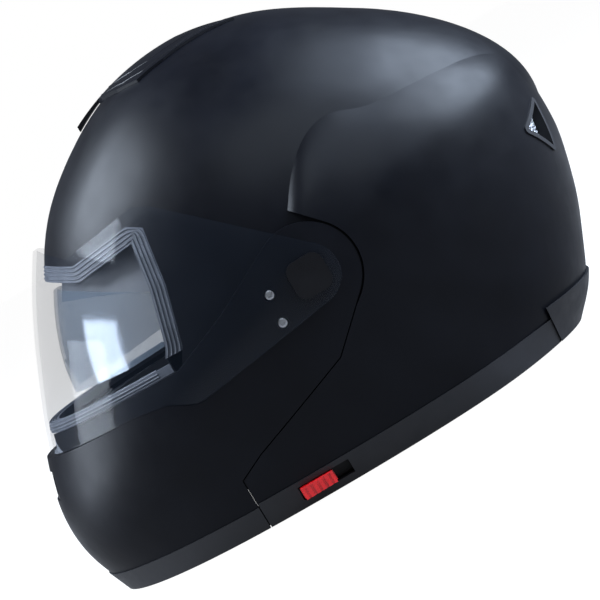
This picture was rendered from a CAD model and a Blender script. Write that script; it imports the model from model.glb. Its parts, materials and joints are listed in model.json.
"""The looks of a modular motorcycle helmet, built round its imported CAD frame.

Metres, +Z up, the face along -Y and the wearer's left along +X.
"""

import json
import math

import bmesh
import bpy
from mathutils import Matrix, Vector
from mathutils.bvhtree import BVHTree


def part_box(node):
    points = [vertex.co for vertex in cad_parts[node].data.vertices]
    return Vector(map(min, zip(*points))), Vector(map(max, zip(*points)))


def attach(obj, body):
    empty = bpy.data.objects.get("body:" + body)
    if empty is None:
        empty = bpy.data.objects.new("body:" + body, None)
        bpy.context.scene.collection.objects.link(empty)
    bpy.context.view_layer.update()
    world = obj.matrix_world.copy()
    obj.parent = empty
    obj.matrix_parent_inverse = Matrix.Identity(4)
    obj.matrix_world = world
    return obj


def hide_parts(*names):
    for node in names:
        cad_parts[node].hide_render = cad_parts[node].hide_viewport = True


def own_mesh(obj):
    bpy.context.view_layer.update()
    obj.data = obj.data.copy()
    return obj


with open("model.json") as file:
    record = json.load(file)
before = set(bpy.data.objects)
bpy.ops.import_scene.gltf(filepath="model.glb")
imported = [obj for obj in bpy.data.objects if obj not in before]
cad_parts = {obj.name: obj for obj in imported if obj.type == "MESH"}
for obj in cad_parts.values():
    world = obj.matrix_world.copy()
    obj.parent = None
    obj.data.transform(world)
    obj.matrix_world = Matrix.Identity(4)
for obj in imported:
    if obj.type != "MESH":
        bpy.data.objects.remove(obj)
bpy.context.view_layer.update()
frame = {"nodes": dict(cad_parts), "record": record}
NODES = frame["nodes"]
MM = 0.001
SIDES = ((1, "left"), (-1, "right"))

# The camera: a long lens on the wearer's left, rolled so that the helmet's rear points up
TARGET = Vector((0, 1.5 * MM, 89 * MM))
DISTANCE = 1.5
VIEW_WIDTH = 0.342
SENSOR = 36.0
YAW = 1.0
ELEVATION = 4.0
ROLL = 31.0

# Soft light from all round, the plain backdrop that the camera sees, and the floor's own glow
AMBIENT = 0.13
BACKDROP = 1.0
FLOOR_SEEN, FLOOR_BOUNCE = 0.97, 0.25
FLOOR_RADIUS = 14.0
FLOOR_DROP = 0.6 * MM

# Swelling of the pads
SIM_FRAMES = 20
PRESSURE = 4.0
VOXEL = 4 * MM
FINE_VOXEL = 2 * MM
PAD_CAP = 4.0 * MM

# Stitches and piping
STITCH, STITCH_GAP = 3.2 * MM, 1.4 * MM
STITCH_STEP = 0.9 * MM
STITCH_RADIUS = 0.38 * MM
STITCH_SUNK, PIPING_SUNK = 0.15 * MM, 0.2 * MM

STRAP_Y = -8.0 * MM
STRAP_WIDTH = 22.0 * MM
STRAP_THIN, STRAP_THICK = 0.62 * MM, 0.78 * MM
VISOR_HINGE_Y, VISOR_HINGE_Z = 15 * MM, 88 * MM


# ---------------------------------------------------------------- materials
def material(name, color, roughness, metallic=0.0, specular=0.5):
    """A new Principled material. Returns it with its node tree and shader."""
    made = bpy.data.materials.new(name)
    made.use_nodes = True
    shader = made.node_tree.nodes["Principled BSDF"]
    shader.inputs["Base Color"].default_value = (*color, 1)
    shader.inputs["Roughness"].default_value = roughness
    shader.inputs["Metallic"].default_value = metallic
    shader.inputs["Specular IOR Level"].default_value = specular
    return made, made.node_tree, shader


def link(tree, source, target):
    tree.links.new(source, target)


def place(tree, stretch=(1, 1, 1)):
    """The piece's own coordinates in metres, stretched per axis."""
    coords = tree.nodes.new("ShaderNodeTexCoord")
    mapping = tree.nodes.new("ShaderNodeMapping")
    mapping.inputs["Scale"].default_value = stretch
    link(tree, coords.outputs["Object"], mapping.inputs["Vector"])
    return mapping.outputs["Vector"]


def noise(tree, scale, detail=3.0, stretch=(1, 1, 1)):
    node = tree.nodes.new("ShaderNodeTexNoise")
    node.inputs["Scale"].default_value = scale
    node.inputs["Detail"].default_value = detail
    link(tree, place(tree, stretch), node.inputs["Vector"])
    return node.outputs["Fac"]


def dots(tree, scale, stretch=(1, 1, 1)):
    node = tree.nodes.new("ShaderNodeTexVoronoi")
    node.inputs["Scale"].default_value = scale
    node.inputs["Randomness"].default_value = 0.12
    link(tree, place(tree, stretch), node.inputs["Vector"])
    return node.outputs["Distance"]


def waves(tree, scale, direction, distortion=0.0):
    node = tree.nodes.new("ShaderNodeTexWave")
    node.bands_direction = direction
    node.inputs["Scale"].default_value = scale
    node.inputs["Distortion"].default_value = distortion
    link(tree, place(tree), node.inputs["Vector"])
    return node.outputs["Fac"]


def spread(tree, value, low, high, start=0.0, stop=1.0):
    """A value mapped from start..stop to low..high."""
    node = tree.nodes.new("ShaderNodeMapRange")
    node.inputs["From Min"].default_value = start
    node.inputs["From Max"].default_value = stop
    node.inputs["To Min"].default_value = low
    node.inputs["To Max"].default_value = high
    link(tree, value, node.inputs["Value"])
    return node.outputs["Result"]


def tint(tree, value, first, second, start=0.3, stop=0.7):
    """A colour that runs from first to second as the value rises."""
    ramp = tree.nodes.new("ShaderNodeValToRGB")
    ramp.color_ramp.elements[0].position = start
    ramp.color_ramp.elements[0].color = (*first, 1)
    ramp.color_ramp.elements[1].position = stop
    ramp.color_ramp.elements[1].color = (*second, 1)
    link(tree, value, ramp.inputs["Fac"])
    return ramp.outputs["Color"]


def bump(tree, shader, height, strength, distance, under=None):
    node = tree.nodes.new("ShaderNodeBump")
    node.inputs["Strength"].default_value = strength
    node.inputs["Distance"].default_value = distance
    link(tree, height, node.inputs["Height"])
    if under:
        link(tree, under, node.inputs["Normal"])
    link(tree, node.outputs["Normal"], shader.inputs["Normal"])
    return node.outputs["Normal"]


def matte_paint():
    made, tree, shader = material("shell_matte_paint", (0.002, 0.0024, 0.004), 0.4, specular=0.10)
    link(tree, tint(tree, noise(tree, 26, 4), (0.0015, 0.0017, 0.003), (0.0026, 0.003, 0.005)),
         shader.inputs["Base Color"])
    link(tree, spread(tree, noise(tree, 60, 5), 0.37, 0.47, 0.3, 0.7), shader.inputs["Roughness"])
    fine = bump(tree, shader, noise(tree, 1400, 2), 0.05, 0.03 * MM)
    bump(tree, shader, noise(tree, 160, 2), 0.04, 0.06 * MM, fine)
    shader.inputs["Coat Weight"].default_value = 0.05
    shader.inputs["Coat Roughness"].default_value = 0.28
    return made


def edge_rubber():
    made, tree, shader = material("edge_rubber", (0.010, 0.010, 0.012), 0.55, specular=0.35)
    link(tree, spread(tree, noise(tree, 90, 4), 0.46, 0.66, 0.3, 0.7), shader.inputs["Roughness"])
    bump(tree, shader, noise(tree, 1500, 3), 0.3, 0.08 * MM)
    return made


def gasket_rubber():
    made, tree, shader = material("gasket_rubber", (0.075, 0.082, 0.098), 0.5, specular=0.35)
    link(tree, tint(tree, noise(tree, 70, 4), (0.06, 0.066, 0.08), (0.09, 0.098, 0.118)),
         shader.inputs["Base Color"])
    link(tree, spread(tree, noise(tree, 120, 4), 0.42, 0.6, 0.3, 0.7), shader.inputs["Roughness"])
    bump(tree, shader, noise(tree, 1300, 3), 0.25, 0.06 * MM)
    return made


def grey_plastic():
    made, tree, shader = material("grey_rim_plastic", (0.13, 0.138, 0.155), 0.5, specular=0.4)
    link(tree, tint(tree, noise(tree, 45, 4), (0.11, 0.117, 0.133), (0.155, 0.163, 0.18)),
         shader.inputs["Base Color"])
    bump(tree, shader, noise(tree, 1700, 3), 0.35, 0.09 * MM)
    return made


def clear_lens():
    made, tree, shader = material("clear_lens", (0.012, 0.017, 0.026), 0.045, specular=0.35)
    shader.inputs["Alpha"].default_value = 0.12
    shader.inputs["IOR"].default_value = 1.58
    shader.inputs["Coat Weight"].default_value = 0.1
    shader.inputs["Coat Roughness"].default_value = 0.03
    link(tree, spread(tree, noise(tree, 40, 5), 0.03, 0.075, 0.3, 0.7), shader.inputs["Roughness"])
    return made


def smoke_lens():
    made, tree, shader = material("smoke_lens", (0.22, 0.27, 0.33), 0.12, specular=0.8)
    shader.inputs["Alpha"].default_value = 0.4
    shader.inputs["Metallic"].default_value = 0.35
    shader.inputs["Coat Weight"].default_value = 1.0
    shader.inputs["Coat Roughness"].default_value = 0.05
    link(tree, tint(tree, noise(tree, 14, 3), (0.20, 0.25, 0.31), (0.27, 0.33, 0.40)),
         shader.inputs["Base Color"])
    link(tree, spread(tree, noise(tree, 50, 4), 0.09, 0.16, 0.3, 0.7), shader.inputs["Roughness"])
    return made


def gloss_plastic(name, color, roughness=0.22, specular=0.5):
    made, tree, shader = material(name, color, roughness, specular=specular)
    link(tree, spread(tree, noise(tree, 80, 5), roughness - 0.05, roughness + 0.09, 0.3, 0.7),
         shader.inputs["Roughness"])
    link(tree, tint(tree, noise(tree, 120, 4), color, tuple(min(1, c * 1.35) for c in color)),
         shader.inputs["Base Color"])
    bump(tree, shader, noise(tree, 900, 2), 0.12, 0.05 * MM)
    return made


def brushed_steel():
    made, tree, shader = material("zinc_steel", (0.55, 0.56, 0.58), 0.32, metallic=1.0)
    grain = noise(tree, 240, 4, (1, 14, 14))
    link(tree, spread(tree, grain, 0.22, 0.46, 0.3, 0.7), shader.inputs["Roughness"])
    link(tree, tint(tree, noise(tree, 150, 3), (0.46, 0.47, 0.49), (0.63, 0.64, 0.66)),
         shader.inputs["Base Color"])
    bump(tree, shader, grain, 0.15, 0.05 * MM)
    return made


def silver_wire():
    made, tree, shader = material("silver_wire", (0.66, 0.67, 0.69), 0.3, metallic=1.0)
    link(tree, tint(tree, noise(tree, 500, 3), (0.5, 0.51, 0.54), (0.78, 0.79, 0.81)),
         shader.inputs["Base Color"])
    return made


def bead_foam():
    made, tree, shader = material("bead_foam", (0.016, 0.016, 0.018), 0.75, specular=0.3)
    beads = dots(tree, 330)
    link(tree, tint(tree, beads, (0.022, 0.022, 0.025), (0.009, 0.009, 0.010), 0.2, 0.6),
         shader.inputs["Base Color"])
    bump(tree, shader, beads, 0.6, 0.3 * MM)
    return made


def mesh_fabric():
    """Knitted mesh with small round openings and a soft nap."""
    made, tree, shader = material("pad_mesh_fabric", (0.012, 0.012, 0.014), 0.86, specular=0.25)
    holes = dots(tree, 420)
    link(tree, tint(tree, holes, (0.002, 0.002, 0.0025), (0.022, 0.022, 0.026), 0.16, 0.4),
         shader.inputs["Base Color"])
    nap = bump(tree, shader, noise(tree, 2600, 3), 0.3, 0.1 * MM)
    bump(tree, shader, spread(tree, holes, 0, 1, 0.1, 0.42), 0.7, 0.5 * MM, nap)
    shader.inputs["Sheen Weight"].default_value = 0.25
    shader.inputs["Sheen Roughness"].default_value = 0.5
    return made


def brushed_fabric(name="brushed_fabric", color=(0.012, 0.012, 0.014)):
    made, tree, shader = material(name, color, 0.9, specular=0.2)
    fibre = noise(tree, 900, 5, (1, 3, 1))
    link(tree, tint(tree, fibre, tuple(c * 0.6 for c in color), tuple(c * 1.7 for c in color)),
         shader.inputs["Base Color"])
    bump(tree, shader, fibre, 0.5, 0.25 * MM)
    shader.inputs["Sheen Weight"].default_value = 0.3
    return made


def webbing():
    made, tree, shader = material("strap_webbing", (0.014, 0.014, 0.016), 0.7, specular=0.3)
    across_weave = waves(tree, 160, "X")
    along_weave = waves(tree, 120, "Y")
    joined = tree.nodes.new("ShaderNodeMath")
    joined.operation = "MULTIPLY"
    link(tree, across_weave, joined.inputs[0])
    link(tree, along_weave, joined.inputs[1])
    link(tree, tint(tree, joined.outputs[0], (0.006, 0.006, 0.007), (0.03, 0.03, 0.034), 0.05, 0.6),
         shader.inputs["Base Color"])
    bump(tree, shader, joined.outputs[0], 0.7, 0.25 * MM)
    shader.inputs["Sheen Weight"].default_value = 0.2
    return made


def thread():
    made, tree, shader = material("grey_thread", (0.16, 0.165, 0.18), 0.7, specular=0.25)
    twist = waves(tree, 420, "DIAGONAL")
    link(tree, tint(tree, twist, (0.09, 0.093, 0.102), (0.21, 0.215, 0.232)), shader.inputs["Base Color"])
    bump(tree, shader, twist, 0.5, 0.1 * MM)
    return made


def pale_floor():
    made, tree, shader = material("pale_floor", (0.12, 0.12, 0.123), 0.9, specular=0.0)
    link(tree, tint(tree, noise(tree, 3, 3), (0.115, 0.115, 0.118), (0.125, 0.125, 0.128)),
         shader.inputs["Base Color"])
    shader.inputs["Emission Color"].default_value = (1, 1, 1, 1)
    path = tree.nodes.new("ShaderNodeLightPath")
    glow = spread(tree, path.outputs["Is Camera Ray"], FLOOR_BOUNCE, FLOOR_SEEN)
    link(tree, glow, shader.inputs["Emission Strength"])
    return made


MATERIALS = {
    "shell_matte": matte_paint(),
    "edge_trim": edge_rubber(),
    "silver_mesh": silver_wire(),
    "gasket": gasket_rubber(),
    "grey_rim": grey_plastic(),
    "clear_shield": clear_lens(),
    "smoke_lens": smoke_lens(),
    "gloss_black": gloss_plastic("gloss_black_plastic", (0.003, 0.003, 0.004), 0.3, 0.22),
    "steel": brushed_steel(),
    "black_foam": bead_foam(),
    "pad_fabric": mesh_fabric(),
    "red_plastic": gloss_plastic("gloss_red_plastic", (0.55, 0.006, 0.008), 0.16),
    "webbing": webbing(),
}
PIPING = brushed_fabric("piping_fabric", (0.10, 0.105, 0.12))
THREAD = thread()
NAP = brushed_fabric()


# ---------------------------------------------------------------- helpers for pieces
def dress(piece, finish):
    piece.data.materials.clear()
    piece.data.materials.append(finish)


def smooth(piece, angle=35.0):
    """Smooth shading that keeps edges sharper than the angle."""
    for face in piece.data.polygons:
        face.use_smooth = True
    bpy.ops.object.select_all(action="DESELECT")
    bpy.context.view_layer.objects.active = piece
    piece.select_set(True)
    bpy.ops.object.shade_smooth_by_angle(angle=math.radians(angle))


def mesh_piece(name, points, faces, slot, body, finish=None):
    mesh = bpy.data.meshes.new(name)
    mesh.from_pydata(points, [], faces)
    mesh.update()
    piece = bpy.data.objects.new(name, mesh)
    bpy.context.scene.collection.objects.link(piece)
    dress(piece, finish or MATERIALS[slot])
    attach(piece, body)
    return piece


def tidy_normals(piece):
    """Turns every face of a closed mesh outwards."""
    bm = bmesh.new()
    bm.from_mesh(piece.data)
    bmesh.ops.recalc_face_normals(bm, faces=bm.faces)
    bm.to_mesh(piece.data)
    bm.free()


def tube(name, routes, radius, slot, body, finish=None, cyclic=False):
    """Round cord pieces through lists of points, as one mesh."""
    curve = bpy.data.curves.new(name + "_line", "CURVE")
    curve.dimensions = "3D"
    curve.bevel_depth = radius
    curve.bevel_resolution = 2
    curve.resolution_u = 4
    curve.use_fill_caps = True
    for route in routes:
        line = curve.splines.new("NURBS")
        line.points.add(len(route) - 1)
        for point, at in zip(line.points, route):
            point.co = (*at, 1)
        line.use_cyclic_u = cyclic
        line.order_u = 3
        line.use_endpoint_u = not cyclic
    source = bpy.data.objects.new(name + "_source", curve)
    bpy.context.scene.collection.objects.link(source)
    bpy.context.view_layer.update()
    mesh = bpy.data.meshes.new_from_object(source.evaluated_get(bpy.context.evaluated_depsgraph_get()))
    bpy.data.objects.remove(source)
    piece = bpy.data.objects.new(name, mesh)
    bpy.context.scene.collection.objects.link(piece)
    dress(piece, finish or MATERIALS[slot])
    for face in mesh.polygons:
        face.use_smooth = True
    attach(piece, body)
    return piece


def tree_of(piece):
    """A search tree over a piece's own mesh."""
    mesh = piece.data
    points = [v.co.copy() for v in mesh.vertices]
    return BVHTree.FromPolygons(points, [tuple(f.vertices) for f in mesh.polygons])


def cast_square(tree, start, direction):
    """Where a ray meets the mesh, and the surface's normal there."""
    return tree.ray_cast(Vector(start), Vector(direction).normalized())[:2]


def cast(tree, start, direction):
    """Where a ray meets the mesh, or None."""
    return cast_square(tree, start, direction)[0]


def settled(route, spacing):
    """A route as evenly spaced points."""
    made = [Vector(route[0])]
    for a, b in zip(route, route[1:]):
        a, b = Vector(a), Vector(b)
        steps = max(1, round((b - a).length / spacing))
        made += [a.lerp(b, (i + 1) / steps) for i in range(steps)]
    return made


# ---------------------------------------------------------------- floor, light and camera
def studio():
    bpy.ops.mesh.primitive_circle_add(vertices=96, radius=FLOOR_RADIUS, fill_type="NGON",
                                      location=(0, 0, -FLOOR_DROP))
    floor = bpy.context.object
    floor.name = "floor"
    dress(floor, pale_floor())

    world = bpy.data.worlds.new("soft_studio")
    bpy.context.scene.world = world
    world.use_nodes = True
    tree = world.node_tree
    ambient = tree.nodes["Background"]
    ambient.inputs["Color"].default_value = (0.88, 0.93, 1.0, 1)
    ambient.inputs["Strength"].default_value = AMBIENT
    backdrop = tree.nodes.new("ShaderNodeBackground")
    backdrop.inputs["Color"].default_value = (1, 1, 1, 1)
    backdrop.inputs["Strength"].default_value = BACKDROP
    path = tree.nodes.new("ShaderNodeLightPath")
    mix = tree.nodes.new("ShaderNodeMixShader")
    link(tree, path.outputs["Is Camera Ray"], mix.inputs[0])
    link(tree, ambient.outputs[0], mix.inputs[1])
    link(tree, backdrop.outputs[0], mix.inputs[2])
    link(tree, mix.outputs[0], tree.nodes["World Output"].inputs["Surface"])
    bpy.context.scene.view_settings.view_transform = "Standard"

    def softbox(name, place_at, aim, size, power, color=(0.88, 0.94, 1.0)):
        light = bpy.data.lights.new(name, "AREA")
        light.shape = "RECTANGLE"
        light.size, light.size_y = size
        light.energy = power
        light.color = color
        lamp = bpy.data.objects.new(name, light)
        bpy.context.scene.collection.objects.link(lamp)
        lamp.location = place_at
        lamp.rotation_euler = (Vector(aim) - Vector(place_at)).to_track_quat("-Z", "Y").to_euler()

    softbox("rear_top_softbox", (0.1, 1.4, 1.0), (0, 0.08, 0.15), (1.3, 1.1), 115, (0.70, 0.82, 1.0))
    softbox("brow_softbox", (-0.05, -1.05, 1.3), (0, -0.06, 0.17), (1.2, 0.9), 75, (0.76, 0.86, 1.0))
    softbox("chin_softbox", (-0.1, -1.7, 0.4), (0, -0.12, 0.06), (0.9, 0.7), 26, (0.78, 0.87, 1.0))
    softbox("left_side_softbox", (1.5, 0.5, 1.5), (0, 0.05, 0.13), (1.2, 1.0), 18, (0.75, 0.86, 1.0))


def camera():
    lens = bpy.data.cameras.new("camera")
    lens.sensor_width = SENSOR
    lens.lens = SENSOR * DISTANCE / VIEW_WIDTH
    lens.clip_end = 60
    made = bpy.data.objects.new("camera", lens)
    bpy.context.scene.collection.objects.link(made)
    yaw, lift, roll = (math.radians(a) for a in (YAW, ELEVATION, ROLL))
    away = Vector((math.cos(lift) * math.cos(yaw), -math.cos(lift) * math.sin(yaw), math.sin(lift)))
    made.location = TARGET + away * DISTANCE
    right = Vector((0, 0, 1)).cross(away).normalized()
    above = away.cross(right).normalized()
    up = above * math.cos(roll) + right * math.sin(roll)
    side = up.cross(away).normalized()
    made.rotation_euler = Matrix((side, up, away)).transposed().to_euler()
    bpy.context.scene.camera = made


studio()
camera()

# ---------------------------------------------------------------- the CAD pieces' finishes
FINISH_OF = {row["node"]: row["material_slot"] for row in frame["record"]["subparts"]}
for node, piece in NODES.items():
    dress(piece, MATERIALS[FINISH_OF[node]])
    smooth(piece)


# ---------------------------------------------------------------- padding
def swollen(node, name, body, voxel, shrink, cap, finish):
    """A pad grown from its CAD solid: shrunk, remeshed, swelled by cloth pressure, then softened."""
    mesh = NODES[node].data.copy()
    mesh.materials.clear()
    pad = bpy.data.objects.new(name, mesh)
    bpy.context.scene.collection.objects.link(pad)
    bpy.ops.object.select_all(action="DESELECT")
    bpy.context.view_layer.objects.active = pad
    pad.select_set(True)
    remesh = pad.modifiers.new("remesh", "REMESH")
    remesh.mode = "VOXEL"
    remesh.voxel_size = voxel
    bpy.ops.object.modifier_apply(modifier="remesh")
    pull = pad.modifiers.new("pull", "DISPLACE")
    pull.strength = -shrink
    pull.mid_level = 0
    bpy.ops.object.modifier_apply(modifier="pull")
    relax = pad.modifiers.new("relax", "SMOOTH")
    relax.factor = 0.5
    relax.iterations = 4
    bpy.ops.object.modifier_apply(modifier="relax")
    rest = [v.co.copy() for v in pad.data.vertices]
    cloth = pad.modifiers.new("cloth", "CLOTH")
    cloth.settings.use_pressure = True
    cloth.settings.uniform_pressure_force = PRESSURE
    cloth.settings.effector_weights.gravity = 0
    cloth.settings.quality = 6
    cloth.point_cache.frame_start = 1
    cloth.point_cache.frame_end = SIM_FRAMES
    for step in range(1, SIM_FRAMES + 1):
        bpy.context.scene.frame_set(step)
    bpy.ops.object.modifier_apply(modifier="cloth")
    bpy.context.scene.frame_set(1)
    for vertex, start in zip(pad.data.vertices, rest):
        move = vertex.co - start
        if move.length > cap:
            vertex.co = start + move.normalized() * cap
    finer = pad.modifiers.new("finer", "SUBSURF")
    finer.levels = finer.render_levels = 1
    bpy.ops.object.modifier_apply(modifier="finer")
    for face in pad.data.polygons:
        face.use_smooth = True
    dress(pad, finish)
    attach(pad, body)
    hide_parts(node)
    return pad


# Each pad's name, body, voxel size, shrink, cap on how far a point may swell, and finish
PADS = {
    "cheek_pad_left": ("cheek_cushion_left", "shell", VOXEL, 1.2 * MM, PAD_CAP, MATERIALS["pad_fabric"]),
    "cheek_pad_right": ("cheek_cushion_right", "shell", VOXEL, 1.2 * MM, PAD_CAP, MATERIALS["pad_fabric"]),
    "crown_pad": ("crown_cushion", "shell", VOXEL, 1.0 * MM, 2 * MM, MATERIALS["pad_fabric"]),
    "neck_roll": ("neck_cushion", "shell", VOXEL, 1.2 * MM, 3 * MM, NAP),
    "chin_curtain": ("chin_wind_curtain", "chin_bar", FINE_VOXEL, 0.4 * MM, 1 * MM, NAP),
    "cheek_block_left": ("cheek_cover_left", "shell", VOXEL, 1.0 * MM, 1 * MM, NAP),
    "cheek_block_right": ("cheek_cover_right", "shell", VOXEL, 1.0 * MM, 1 * MM, NAP),
}
pads = {node: swollen(node, *rest) for node, rest in PADS.items()}

# ---------------------------------------------------------------- piping and seams on the padding
HEAD_Y = 22 * MM
HEAD_MIDDLE = Vector((0, HEAD_Y, 100 * MM))
PAD_TREES = {node: tree_of(pad) for node, pad in pads.items()}


def cheek_loop(tree, side, corners, out):
    """A closed route on the inner face of a cheek pad, through side-view (y, z) corners in mm."""
    made = []
    closed = [(y, z, 0) for y, z in (*corners, corners[0])]
    for y, z, _ in settled(closed, 4.0)[:-1]:
        hit = cast(tree, (0, y * MM, z * MM), (side, 0, 0))
        if hit:
            made.append(hit + Vector((-side, 0, 0)) * out)
    return made


def dashes(route, length=STITCH, gap=STITCH_GAP):
    """Short stitches along a route of points."""
    made, run, drawn = [], 0.0, []
    for a, b in zip(route, route[1:]):
        step = (b - a).length
        if run % (length + gap) < length:
            drawn.append(a)
        elif len(drawn) > 1:
            made.append(drawn)
            drawn = []
        else:
            drawn = []
        run += step
    return made


PIPED = [(-54, 78), (-48, 88), (-38, 90), (44, 62), (52, 54), (62, 26), (58, 19), (-46, 19), (-54, 26)]
STITCHED = [(-47, 76), (-42, 81), (-34, 82), (40, 55), (46, 48), (54, 30), (50, 26), (-42, 26), (-47, 32)]
for side, hand in SIDES:
    tree = PAD_TREES["cheek_pad_" + hand]
    piped = cheek_loop(tree, side, PIPED, PIPING_SUNK)
    tube("cheek_piping_" + hand, [piped], 1.3 * MM, "pad_fabric", "shell", PIPING, cyclic=True)
    stitched = cheek_loop(tree, side, STITCHED, STITCH_SUNK)
    fine = settled([*stitched, stitched[0]], STITCH_STEP)
    tube("cheek_stitches_" + hand, dashes(fine), STITCH_RADIUS, "pad_fabric", "shell", THREAD)


def arc_on(tree, turns, lean, out):
    """A route on a pad's inner face, fanned out from the middle of the head cavity."""
    made = []
    for turn in turns:
        rise, swing = math.radians(turn), math.radians(lean)
        way = Vector((math.sin(swing), math.cos(swing) * math.cos(rise), math.cos(swing) * math.sin(rise)))
        hit = cast(tree, HEAD_MIDDLE, way)
        if hit:
            made.append(hit - way * out)
    return made


crown_tree = PAD_TREES["crown_pad"]
tube("crown_piping", [arc_on(crown_tree, range(16, 150, 4), lean, PIPING_SUNK) for lean in (-30, 30)],
     1.1 * MM, "pad_fabric", "shell", PIPING)
crown_fine = [settled(arc_on(crown_tree, range(18, 148, 4), lean, STITCH_SUNK), STITCH_STEP)
              for lean in (-24, 24, -36, 36)]
tube("crown_stitches", [dash for route in crown_fine for dash in dashes(route)], 0.36 * MM, "pad_fabric",
     "shell", THREAD)


def round_neck(tree, height, out):
    """A route round the inner face of the neck roll at a height."""
    made = []
    for turn in range(40, 142, 4):
        way = Vector((math.cos(math.radians(turn)), math.sin(math.radians(turn)), 0))
        hit = cast(tree, (0, HEAD_Y, height), way)
        if hit:
            made.append(hit - way * out)
    return made


neck_low, neck_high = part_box("neck_roll")
neck_tree = PAD_TREES["neck_roll"]
neck_middle = (neck_low.z + neck_high.z) / 2
neck_line = round_neck(neck_tree, neck_middle + 12 * MM, PIPING_SUNK)
tube("neck_piping", [neck_line], 1.2 * MM, "pad_fabric", "shell", PIPING)
neck_fine = settled(round_neck(neck_tree, neck_middle + 7 * MM, STITCH_SUNK), STITCH_STEP)
tube("neck_stitches", dashes(neck_fine), STITCH_RADIUS, "pad_fabric", "shell", THREAD)

# ---------------------------------------------------------------- rubber lips round the eye opening
# The eye opening's edge in side view, in mm, from the bottom of the side up to the front of the brow
OPENING_EDGE = [(-71, 100), (-66, 108), (-57, 140), (-52, 172), (-60, 177), (-96, 173), (-118, 184)]


def edge_moved(route, inset):
    """A side-view route moved to the shell's side by inset."""
    made = []
    for index, (y, z) in enumerate(route):
        before = route[max(0, index - 1)]
        after = route[min(len(route) - 1, index + 1)]
        along = Vector((after[0] - before[0], after[1] - before[1])).normalized()
        made.append((y + along.y * inset, z - along.x * inset))
    return made


def brow_lip(tree, inset):
    """One lip, from the left side over the brow to the right side."""
    half = []
    for point in settled([(y, z, 0) for y, z in edge_moved(OPENING_EDGE, inset)], 0.3):
        hit = cast(tree, (0.2, point.x * MM, point.y * MM), (-1, 0, 0))
        if hit and hit.x > 4 * MM and (not half or (hit - half[-1]).length > 3 * MM):
            half.append(hit)
    return [*half, *[Vector((-p.x, p.y, p.z)) for p in reversed(half)]]


seal_tree = tree_of(NODES["brow_seal"])
brow_lips = [brow_lip(seal_tree, inset) for inset in (-1.0, -3.2, -5.4, -7.6)]
tube("brow_seal_lips", brow_lips, 0.55 * MM, "gasket", "shell")


def chin_lip(tree, height, depth, cast_height):
    """One lip round the front at a height, set in by depth from the seal's outer face at cast_height."""
    made = []
    for turn in range(-178, -1, 3):
        way = Vector((math.cos(math.radians(turn)), math.sin(math.radians(turn)), 0))
        start = Vector((0, -78 * MM, cast_height))
        hit = cast(tree, start + way * 0.3, -way)
        if hit:
            made.append(Vector((hit.x, hit.y, height)) - way * depth)
    return made


chin_seal_tree = tree_of(NODES["chin_bar_seal"])
chin_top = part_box("chin_bar_seal")[1].z
top_lips = [chin_lip(chin_seal_tree, chin_top, depth * MM, chin_top - 2 * MM) for depth in (1.0, 2.7, 4.4)]
side_levels = [chin_top - drop * MM for drop in (1.6, 3.3, 5.0)]
side_lips = [chin_lip(chin_seal_tree, level, 0, level) for level in side_levels]
tube("chin_seal_lips", top_lips + side_lips, 0.6 * MM, "gasket", "chin_bar")


# ---------------------------------------------------------------- inner brow behind the sun visor
PANEL_COLUMNS, PANEL_ROWS = 40, 6
PANEL_DEPTHS = (2.6 * MM, 4.2 * MM)
# The panel's lower and upper edges as angles above level, at the middle and what is added at its ends
PANEL_LOW, PANEL_LOW_RISE = 28.5, 7
PANEL_HIGH, PANEL_HIGH_RISE = 44, 14


def visor_reach(tree, x):
    """How far the sun visor's inner face is from its own hinge line at x, or None past its edge."""
    for tilt in (20, 15, 10, 25, 5):
        way = Vector((0, -math.cos(math.radians(tilt)), math.sin(math.radians(tilt))))
        hit = cast(tree, (x, VISOR_HINGE_Y, VISOR_HINGE_Z), way)
        if hit:
            return math.hypot(hit.y - VISOR_HINGE_Y, hit.z - VISOR_HINGE_Z)
    return None


def brow_panel():
    """A curved panel across the forehead, just inside the sun visor's path round its own hinge."""
    visor_tree = tree_of(NODES["sun_visor"])
    half_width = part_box("sun_visor")[1].x
    columns = []
    for step in range(-PANEL_COLUMNS, PANEL_COLUMNS + 1):
        x = 0.985 * half_width * math.sin(math.radians(step * 90 / PANEL_COLUMNS))
        reach = visor_reach(visor_tree, x)
        if reach:
            columns.append((x, reach))
    points, faces = [], []
    for x, reach in columns:
        side = (x / half_width) ** 2
        low, high = PANEL_LOW + PANEL_LOW_RISE * side, PANEL_HIGH + PANEL_HIGH_RISE * side
        for depth in PANEL_DEPTHS:
            for i in range(PANEL_ROWS + 1):
                turn = math.radians(low + (high - low) * i / PANEL_ROWS)
                points.append((x, VISOR_HINGE_Y - (reach - depth) * math.cos(turn),
                               VISOR_HINGE_Z + (reach - depth) * math.sin(turn)))
    count = 2 * (PANEL_ROWS + 1)
    loop = [*range(PANEL_ROWS + 1), *range(count - 1, PANEL_ROWS, -1)]
    for column in range(len(columns) - 1):
        start, after = column * count, (column + 1) * count
        faces += [(start + a, start + b, after + b, after + a) for a, b in zip(loop, [*loop[1:], loop[0]])]
    faces.append(loop[::-1])
    faces.append([(len(columns) - 1) * count + i for i in loop])
    panel = mesh_piece("inner_brow_panel", points, faces, "grey_rim", "shell")
    tidy_normals(panel)
    smooth(panel, 40)


brow_panel()

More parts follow.
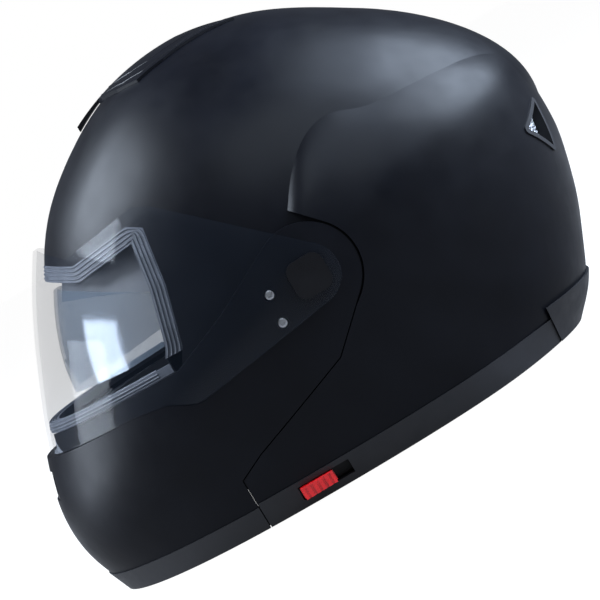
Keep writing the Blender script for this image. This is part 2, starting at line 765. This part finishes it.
# ---------------------------------------------------------------- coil spring over the release button
COIL_TURNS, COIL_STEPS, COIL_WIRE = 4, 12, 0.4 * MM
spring_low, spring_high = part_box("release_spring")
coil_radius = (spring_high.x - spring_low.x) / 2 - COIL_WIRE
coil_middle = (spring_low + spring_high) / 2
coil_rise = spring_high.z - spring_low.z - 2 * COIL_WIRE
coil = [Vector((coil_middle.x + coil_radius * math.cos(step * 2 * math.pi / COIL_STEPS),
                coil_middle.y + coil_radius * math.sin(step * 2 * math.pi / COIL_STEPS),
                spring_low.z + COIL_WIRE + coil_rise * step / (COIL_STEPS * COIL_TURNS)))
        for step in range(COIL_STEPS * COIL_TURNS + 1)]
coil_piece = tube("release_coil", [coil], COIL_WIRE, "steel", "chin_bar")
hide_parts("release_spring")
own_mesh(coil_piece)


# ---------------------------------------------------------------- rubber strips behind the chin bar's seam
SEAM_LEVELS, SEAM_START, SEAM_STEP = 11, 0.5, 3
SEAM_FRONT, SEAM_BACK, SEAM_PROBE = -76.0, -70.0, -74.2
SEAM_OUT, SEAM_IN = 7.2, 8.8


def seam_strip(side, name):
    """A strip on the shell's inner face that closes the view through the seam. Its numbers are in mm."""
    trees = [tree_of(NODES["base_trim"]), tree_of(NODES["outer_shell"])]
    corners = ((SEAM_OUT, SEAM_FRONT), (SEAM_OUT, SEAM_BACK), (SEAM_IN, SEAM_BACK), (SEAM_IN, SEAM_FRONT))
    points = []
    for level in range(SEAM_LEVELS):
        height = (SEAM_START + SEAM_STEP * level) * MM
        hits = [cast(tree, (side * 0.2, SEAM_PROBE * MM, height), (-side, 0, 0)) for tree in trees]
        out = max(side * hit.x for hit in hits if hit)
        for depth, y in corners:
            points.append((side * (out - depth * MM), y * MM, height))
    faces = [(0, 1, 2, 3), tuple(len(points) - 4 + i for i in (3, 2, 1, 0))]
    for ring in range(len(points) // 4 - 1):
        faces += [(ring * 4 + i, ring * 4 + i + 4, ring * 4 + (i + 1) % 4 + 4, ring * 4 + (i + 1) % 4)
                  for i in range(4)]
    strip = mesh_piece(name, points, faces, "edge_trim", "shell")
    tidy_normals(strip)
    smooth(strip)


for side, hand in SIDES:
    seam_strip(side, "seam_strip_" + hand)


# ---------------------------------------------------------------- ridges on the forehead vent
vent_tree = tree_of(NODES["forehead_vent_cover"])


def vent_ridge(side, corners, sunk):
    """A ridge laid on the vent cover through plan (x, y) corners, in mm."""
    made = []
    for point in settled([(side * x, y, 0) for x, y in corners], 2.0):
        hit, normal = cast_square(vent_tree, (point.x * MM, point.y * MM, 0.4), (0, 0, -1))
        if hit:
            made.append(hit - normal * sunk)
    return made


OUTER_RIDGE = [(11, -35), (24, -31), (37, -21), (44, -8), (42, 8), (35, 26), (29.5, 44)]
INNER_RIDGE = [(11, -29), (20, -25), (30, -15), (35, -3), (33, 10), (28, 26)]
tube("forehead_vent_ridges", [vent_ridge(side, line, 0.45 * MM) for side in (1, -1)
                              for line in (OUTER_RIDGE, INNER_RIDGE)], 0.75 * MM, "gloss_black", "shell")


# ---------------------------------------------------------------- woven wire in the rear exhausts
WIRE_PITCH, WIRE_REACH, WIRE_LIFT, WIRE_RADIUS = 1.5 * MM, 20 * MM, 0.35 * MM, 0.26 * MM
WIRE_STEPS = 30


def exhaust_wires(side, node, name):
    """Crossing wires laid on the CAD mesh plate, seen square to it."""
    tree = tree_of(NODES[node])
    low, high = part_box(node)
    middle = (low + high) / 2
    out = Vector((side * 0.58, 0.81, -0.05)).normalized()  # square to the plate
    right = Vector((-side * 0.81, 0.58, 0)).normalized()
    up = right.cross(out).normalized()
    routes = []
    pitch, reach, lift = WIRE_PITCH, WIRE_REACH, WIRE_LIFT
    count = round(reach / pitch)
    for first, second in ((right + up, right - up), (right - up, right + up)):
        first, second = first.normalized(), second.normalized()
        for index in range(-count, count + 1):
            run = []
            for step in range(-WIRE_STEPS, WIRE_STEPS + 1):
                at = middle + second * (index * pitch) + first * (step * reach / WIRE_STEPS)
                hit, normal = cast_square(tree, at + out * 0.03, -out)
                if hit and normal.dot(out) > 0.3:
                    wave = lift * math.cos(math.pi * step * reach / WIRE_STEPS / pitch + math.pi * index)
                    run.append(hit + out * (lift + 0.4 * wave))
            if len(run) > 3:
                routes.append(run)
    piece = tube(name, routes, WIRE_RADIUS, "silver_mesh", "shell")
    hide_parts(node)


for side, hand in SIDES:
    exhaust_wires(side, "exhaust_mesh_" + hand, "exhaust_wires_" + hand)


# ---------------------------------------------------------------- socket screws beside the hubs
def socket_screw(centre, side, radius, height):
    """Points and faces of a button head with a six-sided recess, facing outwards along X."""
    count = 36
    hexed = [1 / math.cos((i * 2 * math.pi / count) % (math.pi / 3) - math.pi / 6) for i in range(count)]
    profile = [(1.0, 0.0, False), (1.0, 0.35, False), (0.93, 0.66, False), (0.78, 0.9, False),
               (0.56, 1.0, False), (0.42, 1.0, True), (0.40, 0.93, True), (0.38, 0.35, True)]
    points, faces = [], []
    for share, rise, six in profile:
        for i in range(count):
            turn = i * 2 * math.pi / count
            reach = share * radius * (hexed[i] * 0.9 if six else 1)
            points.append((centre[0] + side * rise * height, centre[1] + reach * math.cos(turn),
                           centre[2] + reach * math.sin(turn)))
    for ring in range(len(profile) - 1):
        for i in range(count):
            a, b = ring * count + i, ring * count + (i + 1) % count
            faces.append((a, b, b + count, a + count) if side > 0 else (a + count, b + count, b, a))
    last = [(len(profile) - 1) * count + i for i in range(count)]
    first = list(range(count))
    faces.append(last if side > 0 else last[::-1])
    faces.append(first[::-1] if side > 0 else first)
    return points, faces


# The screws' places in side view, in mm
SCREWS = [(-13.0, 108.0), (-14.5, 92.0)]
SCREW_SUNK, SCREW_RADIUS, SCREW_HEIGHT = 2.4 * MM, 3.15 * MM, 2.3 * MM
screw_points, screw_faces = [], []
screw_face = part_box("arm_screws")[1].x
for y, z in SCREWS:
    for side in (1, -1):
        centre = (side * (screw_face - SCREW_SUNK), y * MM, z * MM)
        points, faces = socket_screw(centre, side, SCREW_RADIUS, SCREW_HEIGHT)
        start = len(screw_points)
        screw_points += points
        screw_faces += [tuple(i + start for i in face) for face in faces]
screws = mesh_piece("arm_socket_screws", screw_points, screw_faces, "steel", "chin_bar")
smooth(screws, 30)
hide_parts("arm_screws")


# ---------------------------------------------------------------- chin strap webbing
# The webbing's own line in (x, z), in mm, from its rivet under the shell to the buckle
STRAP_LINE = [
    (110.0, 35.8), (107.8, 20.8), (106.4, 15.3), (102.9, 12.3), (95.4, 10.4), (69.4, 7.3), (44.4, 6.0),
]


def strap(name, side, end, node):
    """Webbing with soft thick edges, swept along the strap's line."""
    line = [*STRAP_LINE[:-1], end] if side < 0 else [*STRAP_LINE, end]
    route = settled([(side * x * MM, STRAP_Y, z * MM) for x, z in line], 2 * MM)
    for _ in range(3):
        route = [route[0], *[(a + b * 2 + c) / 4 for a, b, c in zip(route, route[1:], route[2:])], route[-1]]
    half, thin, thick = STRAP_WIDTH / 2, STRAP_THIN, STRAP_THICK
    section = [(-half, 0), (-half + 0.4 * MM, thick), (-half + 1.8 * MM, thick), (-half + 2.6 * MM, thin),
               (0, thin * 1.12), (half - 2.6 * MM, thin), (half - 1.8 * MM, thick), (half - 0.4 * MM, thick),
               (half, 0)]
    section += [(u, -v) for u, v in section[-2:0:-1]]
    points, faces = [], []
    for index, at in enumerate(route):
        along = (route[min(index + 1, len(route) - 1)] - route[max(index - 1, 0)]).normalized()
        normal = along.cross(Vector((0, 1, 0))).normalized()
        points += [at + Vector((0, 1, 0)) * u + normal * v for u, v in section]
    count = len(section)
    for ring in range(len(route) - 1):
        for i in range(count):
            a, b = ring * count + i, ring * count + (i + 1) % count
            faces.append((a, b, b + count, a + count))
    faces.append(list(range(count))[::-1])
    faces.append([(len(route) - 1) * count + i for i in range(count)])
    piece = mesh_piece(name, points, faces, "webbing", "shell")
    tidy_normals(piece)
    smooth(piece, 50)
    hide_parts(node)


strap("strap_webbing_left", 1, (24.0, 5.7), "strap_left")
strap("strap_webbing_right", -1, (36.2, 5.7), "strap_right")
# Rows of stitches across the underside of the webbing: side, distance from the middle and height, in mm
STRAP_ROWS = ((1, 30, 4.95), (1, 42, 4.95), (-1, 40, 4.95), (-1, 49, 5.2))
ROW_HALF = 9
stitches = []
for side, x, height in STRAP_ROWS:
    line = settled([(side * x * MM, STRAP_Y + u * MM, height * MM) for u in (-ROW_HALF, ROW_HALF)], 0.8 * MM)
    stitches += dashes(line, 2.4 * MM, 1.2 * MM)
tube("strap_stitches", stitches, 0.35 * MM, "webbing", "shell", THREAD)
